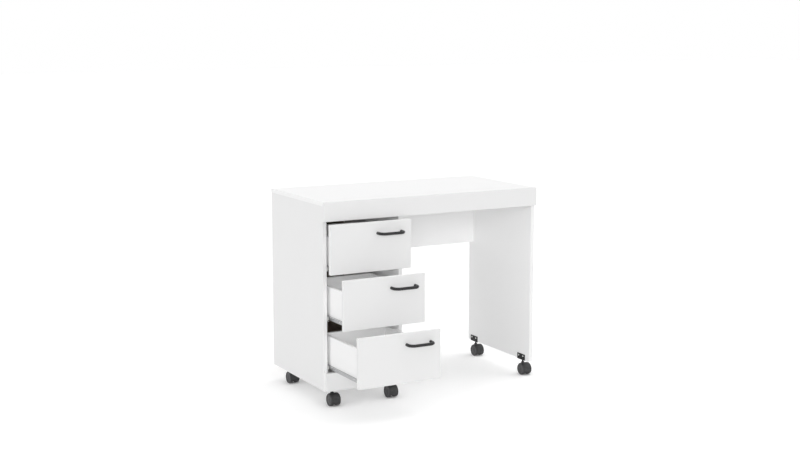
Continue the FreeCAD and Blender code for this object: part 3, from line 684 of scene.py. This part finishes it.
def solids_of(node: str) -> List[List[Vector]]:
    """The corner points of each separate solid in a CAD node.

    Args:
        node: the node's name.

    Returns:
        One list of points for each solid.
    """
    mesh = frame["nodes"][node].data
    keys = [tuple(round(c, 7) for c in vertex.co) for vertex in mesh.vertices]
    parent: Dict[Tuple[float, ...], Tuple[float, ...]] = {key: key for key in keys}

    def root(key: Tuple[float, ...]) -> Tuple[float, ...]:
        """Follows a corner to the one that stands for its solid.

        Args:
            key: the corner.

        Returns:
            The solid's own corner.
        """
        while parent[key] != key:
            parent[key] = parent[parent[key]]
            key = parent[key]
        return key

    for edge in mesh.edges:
        first, second = (root(keys[index]) for index in edge.vertices)
        if first != second:
            parent[first] = second
    groups: Dict[Tuple[float, ...], List[Vector]] = {}
    for key in parent:
        groups.setdefault(root(key), []).append(Vector(key))
    return list(groups.values())


class Shape:
    """A mesh under construction, in millimetres until it is placed."""

    def __init__(self) -> None:
        """Starts an empty mesh."""
        self.mesh = bmesh.new()

    def lathe(self, profile: Profile, steps: int, frame_of: Matrix) -> "Shape":
        """Turns a closed profile about the local Z axis.

        Args:
            profile: (radius, height) points from the axis round to the axis again, or a ring.
            steps: how many facets a full turn has.
            frame_of: where the local axes lie.

        Returns:
            The shape itself.
        """
        rings: List[List[bmesh.types.BMVert]] = []
        for radius, height in profile:
            if radius < ON_AXIS:
                rings.append([self.mesh.verts.new(frame_of @ Vector((0.0, 0.0, height)))])
                continue
            turn = [2.0 * math.pi * step / steps for step in range(steps)]
            points = [Vector((radius * math.cos(a), radius * math.sin(a), height)) for a in turn]
            rings.append([self.mesh.verts.new(frame_of @ point) for point in points])
        closed = len(rings[0]) > 1
        pairs = list(zip(rings, rings[1:])) + ([(rings[-1], rings[0])] if closed else [])
        for first, second in pairs:
            self._bridge(first, second, steps)
        return self

    def _bridge(self, first: List[bmesh.types.BMVert], second: List[bmesh.types.BMVert], steps: int) -> None:
        """Joins two rings with faces.

        Args:
            first: one ring, or a single point.
            second: the other ring, or a single point.
            steps: how many facets the turn has.
        """
        for step in range(steps):
            following = (step + 1) % steps
            corners = [first[step % len(first)], first[following % len(first)]]
            corners += [second[following % len(second)], second[step % len(second)]]
            unique = list(dict.fromkeys(corners))
            if len(unique) > 2:
                self.mesh.faces.new(unique)

    def swing(self, section: Profile, start: float, sweep: float, steps: int) -> "Shape":
        """Swings a closed section about the X axis and caps both ends.

        Args:
            section: (x, radius) points round the section.
            start: the first angle in degrees, from straight down towards +Y.
            sweep: how far it swings, in degrees.
            steps: how many facets the swing has.

        Returns:
            The shape itself.
        """
        rings = []
        for step in range(steps + 1):
            angle = math.radians(start + sweep * step / steps)
            across, down = math.sin(angle), -math.cos(angle)
            rings.append([self.mesh.verts.new((x, r * across, r * down)) for x, r in section])
        count = len(section)
        for first, second in zip(rings, rings[1:]):
            for index in range(count):
                following = (index + 1) % count
                self.mesh.faces.new((first[index], first[following], second[following], second[index]))
        self.mesh.faces.new(list(reversed(rings[0])))
        self.mesh.faces.new(rings[-1])
        return self

    def block(self, low: Point, high: Point, frame_of: Matrix = Matrix.Identity(4)) -> "Shape":
        """Adds a box.

        Args:
            low: its lowest corner.
            high: its highest corner.
            frame_of: where the local axes lie.

        Returns:
            The shape itself.
        """
        made = bmesh.ops.create_cube(self.mesh, size=1.0)["verts"]
        for vertex in made:
            corner = [lo if c < 0 else hi for c, lo, hi in zip(vertex.co, low, high)]
            vertex.co = frame_of @ Vector(corner)
        return self

    def soften(self, width: float, angle: float = 40.0, segments: int = 2) -> "Shape":
        """Rounds the sharp edges.

        Args:
            width: how far the rounding reaches.
            angle: how much an edge turns, in degrees, before it is rounded.
            segments: how many facets the rounding has.

        Returns:
            The shape itself.
        """
        bmesh.ops.recalc_face_normals(self.mesh, faces=self.mesh.faces[:])
        limit = math.radians(angle)
        bmesh.ops.bevel(
            self.mesh,
            geom=[e for e in self.mesh.edges if e.is_manifold and e.calc_face_angle(0.0) > limit],
            offset=width,
            segments=segments,
            profile=0.5,
            affect="EDGES",
            clamp_overlap=True,
        )
        return self

    def absorb(self, other: "Shape", frame_of: Matrix = Matrix.Identity(4)) -> "Shape":
        """Adds a copy of another shape.

        Args:
            other: the shape to copy.
            frame_of: where the copy goes.

        Returns:
            The shape itself.
        """
        data = bpy.data.meshes.new("absorbed")
        other.mesh.to_mesh(data)
        data.transform(frame_of)
        self.mesh.from_mesh(data)
        bpy.data.meshes.remove(data)
        return self

    def carved(self, tool: "Shape") -> "Shape":
        """This shape with another one cut out of it.

        Args:
            tool: what is cut out.

        Returns:
            A new shape.
        """
        pair = [self.to_object("carved"), tool.to_object("tool")]
        modifier = pair[0].modifiers.new("cut", "BOOLEAN")
        modifier.operation = "DIFFERENCE"
        modifier.solver = "EXACT"
        modifier.object = pair[1]
        bpy.context.view_layer.update()
        graph = bpy.context.evaluated_depsgraph_get()
        data = bpy.data.meshes.new_from_object(pair[0].evaluated_get(graph))
        result = Shape()
        result.mesh.from_mesh(data)
        for obj in pair:
            spare = obj.data
            bpy.data.objects.remove(obj)
            bpy.data.meshes.remove(spare)
        bpy.data.meshes.remove(data)
        return result

    def to_object(self, name: str, frame_of: Matrix = Matrix.Identity(4)) -> bpy.types.Object:
        """Writes the mesh into a new object.

        Args:
            name: the object's name.
            frame_of: where it goes.

        Returns:
            The object, shaded smooth apart from its sharp edges.
        """
        bmesh.ops.recalc_face_normals(self.mesh, faces=self.mesh.faces[:])
        data = bpy.data.meshes.new(name)
        self.mesh.to_mesh(data)
        data.transform(frame_of)
        data.shade_smooth()
        data.set_sharp_from_angle(angle=math.radians(SHARP_DEGREES))
        obj = bpy.data.objects.new(name, data)
        bpy.context.scene.collection.objects.link(obj)
        return obj

    def piece(self, name: str, body: str, slot: Slot, finish: Finish, replaces: Iterable[str] = ()) -> None:
        """Makes a piece of the table from a mesh in millimetres in the table's frame.

        Args:
            name: the piece's name.
            body: the body that it rides on.
            slot: the record's slot that its finish belongs to, which is not used.
            finish: its finish.
            replaces: the CAD nodes that it stands for.
        """
        obj = self.to_object(name, Matrix.Scale(MM, 4))
        obj.data.materials.append(finish.material(f"{name}_finish"))
        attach(obj, body)
        if replaces:
            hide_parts(*replaces)
        log.info("built %s with %d faces", name, len(obj.data.polygons))


# --------------------------------------------------------------------- sub-assemblies
@dataclass
class Carcass:
    """The fixed boards, their back and the fittings that hold them."""

    boards: Tuple[str, ...] = (
        "tabletop",
        "inner_side_panel",
        "right_side_panel",
        "modesty_panel",
        "cabinet_bottom",
    )
    # These boards take the darker white, painted shade on the faces that the lamps light most.
    faces: Tuple[str, ...] = ("front_apron", "left_side_panel", "plinth_board")

    def dress(self) -> None:
        """Finishes the boards, the back and the joint fittings."""
        for board in self.boards:
            dress_board(board)
        for board in self.faces:
            dress_board(board, FACE_WHITE_PAINTED_SHADE)
        dress_node("cabinet_back", Hardboard())
        dress_node("cam_locks", CAM_METAL)
        dress_node("cam_bolts", BrightZinc())
        dress_node("wood_dowels", Beech())


@dataclass
class Drawer:
    """One drawer: its boards, handle and roller slides."""

    bay: Bay
    box_boards: Tuple[str, ...] = ("left_side", "right_side", "back", "bottom")

    @property
    def name(self) -> str:
        """The drawer's name in the frame."""
        return f"drawer_{self.bay.value}"

    def dress(self) -> None:
        """Finishes the drawer's boards, handle and slides."""
        # The front takes the darker white as painted shade, because the lamps light it most.
        dress_board(f"{self.name}_front", FACE_WHITE_PAINTED_SHADE)
        for board in self.box_boards:
            dress_board(f"{self.name}_{board}")
        dress_node(f"{self.name}_handle", SatinPaint())
        dress_node(f"{self.name}_runners", SheetSteel())
        dress_node(f"{self.name}_cabinet_rails", SheetSteel())
        dress_node(f"{self.name}_rollers", Nylon())
        dress_node(f"{self.name}_cabinet_rollers", Nylon())


@dataclass
class Caster:
    """A twin-wheel caster: a moulded hood on its stem, and two dished wheels on an axle."""

    corner: Corner
    wheel_radius: float = 22.5
    wheel_width: float = 14.0
    wheel_gap: float = 13.0
    side_play: float = 0.8
    dish_radius: float = 17.5
    dish_depth: float = 1.5
    hub_radius: float = 6.0
    axle_radius: float = 3.0
    hood_inside: float = 23.3
    hood_wall: float = 1.8
    hood_inset: float = 3.0
    hood_start: float = 75.0
    hood_sweep: float = 225.0
    hood_crown: float = 0.9
    hood_edge: float = 0.35
    hood_edge_turn: float = 50.0
    boss_radius: float = 6.0
    boss_top: float = 49.0
    boss_foot: float = 32.0
    stem_hole: float = 3.55
    axle_play: float = 0.05
    axle_boss: float = 7.5
    axle_boss_edge: float = 0.6
    wheel_steps: int = 72
    hood_steps: int = 64
    boss_steps: int = 48
    axle_steps: int = 24
    axle: Vector = field(init=False)
    stem: Vector = field(init=False)

    def __post_init__(self) -> None:
        """Reads where the axle and the stem are from the frame."""
        low, high = (Vector(corner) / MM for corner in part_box(self.wheels_node))
        self.axle = (low + high) / 2.0
        swivel = next(j for j in frame["joints"] if j["name"] == f"caster_{self.corner.value}_swivel")
        self.stem = Vector(swivel["pos_m"]) / MM

    @property
    def wheels_node(self) -> str:
        """The CAD node of the wheels and the axle."""
        return f"caster_wheels_{self.corner.value}"

    @property
    def hood_node(self) -> str:
        """The CAD node of the hood."""
        return f"caster_hood_{self.corner.value}"

    def wheel_profile(self) -> Profile:
        """The section of one wheel.

        Returns:
            Its (radius, distance outward from the caster's middle) points.
        """
        inner = self.wheel_gap / 2.0
        outer = inner + self.wheel_width
        middle = (inner + outer) / 2.0
        rim, tread = self.dish_radius, self.wheel_radius
        floor = outer - self.dish_depth
        return (
            (0.0, inner),
            (self.hub_radius + 2.0, inner),
            (self.hub_radius + 2.6, inner + 0.9),
            (rim + 1.6, inner + 0.9),
            (rim + 2.2, inner),
            (tread - 2.0, inner),
            (tread - 0.6, inner + 0.6),
            (tread, inner + 2.0),
            (tread, middle - 0.35),
            (tread - 0.25, middle - 0.15),
            (tread - 0.25, middle + 0.15),
            (tread, middle + 0.35),
            (tread, outer - 2.0),
            (tread - 0.6, outer - 0.6),
            (tread - 2.0, outer),
            (rim + 0.4, outer),
            (rim - 0.3, outer - 0.5),
            (rim - 0.8, floor + 0.1),
            (rim - 2.6, floor - 0.1),
            (rim - 3.0, floor - 0.7),
            (rim - 3.6, floor - 0.7),
            (rim - 4.0, floor - 0.1),
            (self.hub_radius + 1.2, floor + 0.15),
            (self.hub_radius + 0.2, floor + 0.5),
            (self.hub_radius - 0.2, outer - 0.8),
            (self.hub_radius - 1.0, outer - 0.35),
            (self.hub_radius - 3.6, outer - 0.15),
            (self.hub_radius - 4.2, outer - 0.6),
            (0.0, outer - 0.7),
        )

    def build_wheels(self) -> None:
        """Builds both wheels and the axle between them."""
        shape = Shape()
        for outward in (-1.0, 1.0):
            facing = Matrix.Translation(self.axle) @ Matrix.Rotation(outward * math.pi / 2.0, 4, "Y")
            shape.lathe(self.wheel_profile(), self.wheel_steps, facing)
        facing = Matrix.Translation(self.axle) @ Matrix.Rotation(math.pi / 2.0, 4, "Y")
        reach = self.wheel_gap / 2.0 + 1.0
        radius = self.axle_radius
        pin = ((0.0, -reach), (radius, -reach), (radius, reach), (0.0, reach))
        shape.lathe(pin, self.axle_steps, facing)
        body = f"wheels_{self.corner.value}"
        shape.piece(f"wheel_pair_{self.corner.value}", body, Slot.WHEEL, WHEEL_PLASTIC, [self.wheels_node])

    def hood_section(self) -> Profile:
        """The section of the fender and of the web below it.

        Returns:
            Its (x, radius) points, from one end of the crown round to the other.
        """
        half = self.wheel_gap / 2.0 + self.wheel_width - self.hood_inset
        web = self.wheel_gap / 2.0 - self.side_play
        inside, outside = self.hood_inside, self.hood_inside + self.hood_wall
        crown = [
            (half * share, outside - self.hood_crown * abs(share) ** 5)
            for share in (-1.0, -0.96, -0.9, -0.8, -0.6, -0.35, 0.0, 0.35, 0.6, 0.8, 0.9, 0.96, 1.0)
        ]
        lip = [(half - 0.25, inside), (web + 0.8, inside), (web, inside - 0.8), (web, 6.0)]
        mirrored = [(-x, radius) for x, radius in reversed(lip)]
        return tuple(crown + lip + mirrored)

    def build_hood(self) -> None:
        """Builds the fender, the web with its axle boss, and the boss round the stem."""
        fender = Shape().swing(self.hood_section(), self.hood_start, self.hood_sweep, self.hood_steps)
        fender.soften(self.hood_edge, self.hood_edge_turn)
        shape = Shape().absorb(fender, Matrix.Translation(self.axle))
        web = self.wheel_gap / 2.0 - self.side_play
        bore, boss, edge = self.axle_radius + self.axle_play, self.axle_boss, self.axle_boss_edge
        boss_profile = (
            (bore, -web),
            (boss - edge, -web),
            (boss, -web + edge),
            (boss, web - edge),
            (boss - edge, web),
            (bore, web),
        )
        across = Matrix.Rotation(math.pi / 2.0, 4, "Y")
        shape.lathe(boss_profile, self.boss_steps, Matrix.Translation(self.axle) @ across)
        radius, top, stem_hole = self.boss_radius, self.boss_top, self.stem_hole
        collar = (
            (stem_hole, self.boss_foot),
            (radius, self.boss_foot),
            (radius, top - 4.2),
            (radius + 0.5, top - 3.9),
            (radius + 0.5, top - 2.4),
            (radius, top - 2.1),
            (radius, top - 0.7),
            (radius - 0.7, top),
            (stem_hole + 0.5, top),
            (stem_hole, top - 0.5),
        )
        shape.lathe(collar, self.boss_steps, Matrix.Translation((self.stem.x, self.stem.y, 0.0)))
        body = f"caster_{self.corner.value}"
        shape.piece(f"hood_{self.corner.value}", body, Slot.HOOD, HOOD_PLASTIC, [self.hood_node])

    def build(self) -> None:
        """Builds the hood and the wheels."""
        self.build_hood()
        self.build_wheels()


@dataclass
class ScrewSet:
    """Cross-head screws that stand where a CAD node has its plain ones."""

    node: str
    body: str
    name: str
    recess: float = 4.2
    recess_width: float = 0.9
    recess_depth: float = 1.1
    pan_depth: float = 2.0
    turn_between: float = 37.0
    steps: int = 32

    def template(self, drive: Drive, head: float, depth: float, shank: float, length: float) -> Shape:
        """One screw with its head's seat on the origin and its shank along -Z.

        Args:
            drive: the head's shape.
            head: the head's radius.
            depth: how high the head is.
            shank: the shank's radius.
            length: how long the shank is.

        Returns:
            The screw with its cross recess.
        """
        crown = {
            Drive.PAN: ((1.0, 0.0), (1.0, 0.35), (0.93, 0.7), (0.7, 0.95)),
            Drive.CHEESE: ((1.0, 0.0), (1.0, 0.85), (0.95, 1.0)),
        }[drive]
        profile = [(0.0, -length), (shank * 0.5, -length), (shank, -length + shank), (shank, 0.0)]
        profile += [(head * across, depth * up) for across, up in crown] + [(0.0, depth)]
        body = Shape().lathe(profile, self.steps, Matrix.Identity(4))
        half, width = self.recess / 2.0, self.recess_width / 2.0
        floor, above = depth - self.recess_depth, depth + 1.0
        cross = Shape().block((-half, -width, floor), (half, width, above))
        first = body.carved(cross)
        return first.carved(Shape().block((-width, -half, floor), (width, half, above)))

    def measure(self, points: Sequence[Vector]) -> Tuple[Matrix, Tuple[float, float, float, float]]:
        """Finds how one plain screw lies.

        Args:
            points: its corner points in metres.

        Returns:
            The frame of its head's seat, and its head's radius and height, its shank's radius and length.
        """
        points = [point / MM for point in points]
        low = Vector(min(p[i] for p in points) for i in range(3))
        high = Vector(max(p[i] for p in points) for i in range(3))
        span = high - low
        axis = max(range(3), key=lambda i: span[i])
        side = (axis + 1) % 3
        middle = (low + high) / 2.0
        ends = {
            sign: max(abs(p[side] - middle[side]) for p in points if abs(p[axis] - end) < 0.01)
            for sign, end in ((-1.0, low[axis]), (1.0, high[axis]))
        }
        outward = max(ends, key=ends.get)
        head, shank = ends[outward], ends[-outward]
        top = high[axis] if outward > 0 else low[axis]
        wide = [p[axis] for p in points if abs(p[side] - middle[side]) > shank + 0.3]
        seat = min(wide) if outward > 0 else max(wide)
        foot = low[axis] if outward > 0 else high[axis]
        origin = middle.copy()
        origin[axis] = seat
        direction = Vector((0.0, 0.0, 0.0))
        direction[axis] = outward
        turned = direction.to_track_quat("Z", "X").to_matrix().to_4x4()
        return Matrix.Translation(origin) @ turned, (head, abs(top - seat), shank, abs(foot - seat))

    def build(self) -> None:
        """Puts a detailed screw in the place of each plain one."""
        made: Dict[Tuple[float, ...], Shape] = {}
        whole = Shape()
        for index, points in enumerate(solids_of(self.node)):
            seat, sizes = self.measure(points)
            key = tuple(round(value, 1) for value in sizes)
            head, depth, shank, length = sizes
            if key not in made:
                drive = Drive.PAN if depth < self.pan_depth else Drive.CHEESE
                made[key] = self.template(drive, head, depth, shank, length)
            spin = Matrix.Rotation(math.radians(self.turn_between * index), 4, "Z")
            whole.absorb(made[key], seat @ spin)
        whole.piece(self.name, self.body, Slot.ZINC, BrightZinc(), [self.node])


@dataclass
class CasterMounts:
    """The plates and the angle brackets that carry the stems."""

    nodes: Tuple[str, ...] = ("caster_plates", "caster_brackets")

    def dress(self) -> None:
        """Gives the plates and brackets their black paint."""
        for node in self.nodes:
            dress_node(node, MOUNT_PAINT)


# ----------------------------------------------------------------------------- studio
@dataclass(frozen=True)
class Softbox:
    """A lamp far away, as wide in the sky as a studio's softbox, that no gloss mirrors."""

    name: str
    bearing: float
    height: float
    strength: float
    spread: float

    def build(self) -> None:
        """Hangs the lamp: its bearing turns from the table's front towards its left end."""
        data = bpy.data.lights.new(self.name, "SUN")
        data.energy = self.strength
        data.angle = math.radians(self.spread)
        lamp = bpy.data.objects.new(self.name, data)
        lamp.rotation_euler = (math.radians(90.0 - self.height), 0.0, math.radians(-self.bearing))
        lamp.visible_glossy = False
        bpy.context.scene.collection.objects.link(lamp)


@dataclass
class Studio:
    """A pale floor and wide, soft light, as in a bright white room."""

    floor_size: float = 60.0
    floor_tone: float = 0.8
    seen_tone: float = 1.0
    floor_glow: float = 0.17
    # How far the floor's painted contact shade reaches, in metres.
    contact: float = 0.03
    room_light: float = 0.03
    bounces: int = 16
    softboxes: Tuple[Softbox, ...] = (
        Softbox("front_softbox", bearing=27.0, height=12.0, strength=1.05, spread=20.0),
        Softbox("left_softbox", bearing=80.0, height=20.0, strength=0.75, spread=60.0),
        Softbox("right_softbox", bearing=-90.0, height=50.0, strength=0.73, spread=60.0),
        Softbox("ceiling_softbox", bearing=0.0, height=90.0, strength=0.44, spread=60.0),
        Softbox("sky_softbox", bearing=0.0, height=90.0, strength=1.53, spread=160.0),
    )

    def build_floor(self) -> None:
        """Lays the floor, which looks white where nothing shades it."""
        graph = Graph("floor_finish")
        tones = (self.floor_tone, self.seen_tone)
        matt, pale = (
            graph.add("ShaderNodeBsdfDiffuse", inputs={"Color": rgba((tone, tone, tone))})
            for tone in tones
        )
        # The glow fades where ambient occlusion finds something close by: painted contact shade under the
        # table and the casters.
        openness = graph.add("ShaderNodeAmbientOcclusion", {"samples": 8}, {"Distance": self.contact}, "AO")
        glow = graph.add("ShaderNodeEmission", inputs={"Strength": openness * self.floor_glow})
        seen = graph.add("ShaderNodeAddShader", inputs={0: pale, 1: glow})
        mixed = graph.add("ShaderNodeMixShader", inputs={0: graph.sight(), 1: matt, 2: seen})
        graph.add("ShaderNodeOutputMaterial", inputs={"Surface": mixed})
        half = self.floor_size / 2.0
        data = bpy.data.meshes.new("floor")
        corners = [(-half, -half, 0.0), (half, -half, 0.0), (half, half, 0.0), (-half, half, 0.0)]
        data.from_pydata(corners, [], [(0, 1, 2, 3)])
        data.materials.append(graph.owner)
        floor = bpy.data.objects.new("floor", data)
        bpy.context.scene.collection.objects.link(floor)

    def build_light(self) -> None:
        """Lights the room evenly, and shows it as plain white."""
        graph = Graph("white_room", is_world=True)
        white = (1.0, 1.0, 1.0, 1.0)
        strengths = (self.room_light, 1.0)
        room, seen = (
            graph.add("ShaderNodeBackground", inputs={"Color": white, "Strength": strength})
            for strength in strengths
        )
        mixed = graph.add("ShaderNodeMixShader", inputs={0: graph.sight(), 1: room, 2: seen})
        graph.add("ShaderNodeOutputWorld", inputs={"Surface": mixed})
        bpy.context.scene.world = graph.owner
        bpy.context.scene.view_settings.view_transform = "Standard"
        bpy.context.scene.cycles.max_bounces = self.bounces
        bpy.context.scene.cycles.diffuse_bounces = self.bounces

    def build(self) -> None:
        """Makes the floor and the light."""
        self.build_floor()
        self.build_light()
        for softbox in self.softboxes:
            softbox.build()
        log.info("built the studio")


@dataclass
class Viewpoint:
    """The camera, a little above the worktop, off the table's left front corner."""

    from_corner: Point = (-2.102, -4.373, 0.729)
    yaw: float = 28.88
    pitch: float = -8.67
    lens: float = 61.37
    sensor: float = 36.0
    farthest: float = 200.0

    def build(self) -> None:
        """Makes the camera the scene's own."""
        data = bpy.data.cameras.new("camera")
        data.lens = self.lens
        data.sensor_width = self.sensor
        data.sensor_fit = "HORIZONTAL"
        data.clip_end = self.farthest
        camera = bpy.data.objects.new("camera", data)
        camera.location = Vector(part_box("front_apron")[0]) + Vector(self.from_corner)
        camera.rotation_euler = (math.radians(90.0 + self.pitch), 0.0, math.radians(-self.yaw))
        bpy.context.scene.collection.objects.link(camera)
        bpy.context.scene.camera = camera
        log.info("placed the camera")


def main() -> None:
    """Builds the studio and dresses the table."""
    logging.basicConfig(level=logging.INFO, format="%(name)s: %(message)s")
    Viewpoint().build()
    Studio().build()
    Carcass().dress()
    for bay in Bay:
        drawer = Drawer(bay)
        drawer.dress()
        ScrewSet(f"{drawer.name}_screws", drawer.name, f"{drawer.name}_screw_set").build()
    CasterMounts().dress()
    for corner in Corner:
        Caster(corner).build()
    ScrewSet("pan_head_screws", Body.CARCASS.value, "pan_head_screw_set").build()


if __name__ == "__main__":
    main()
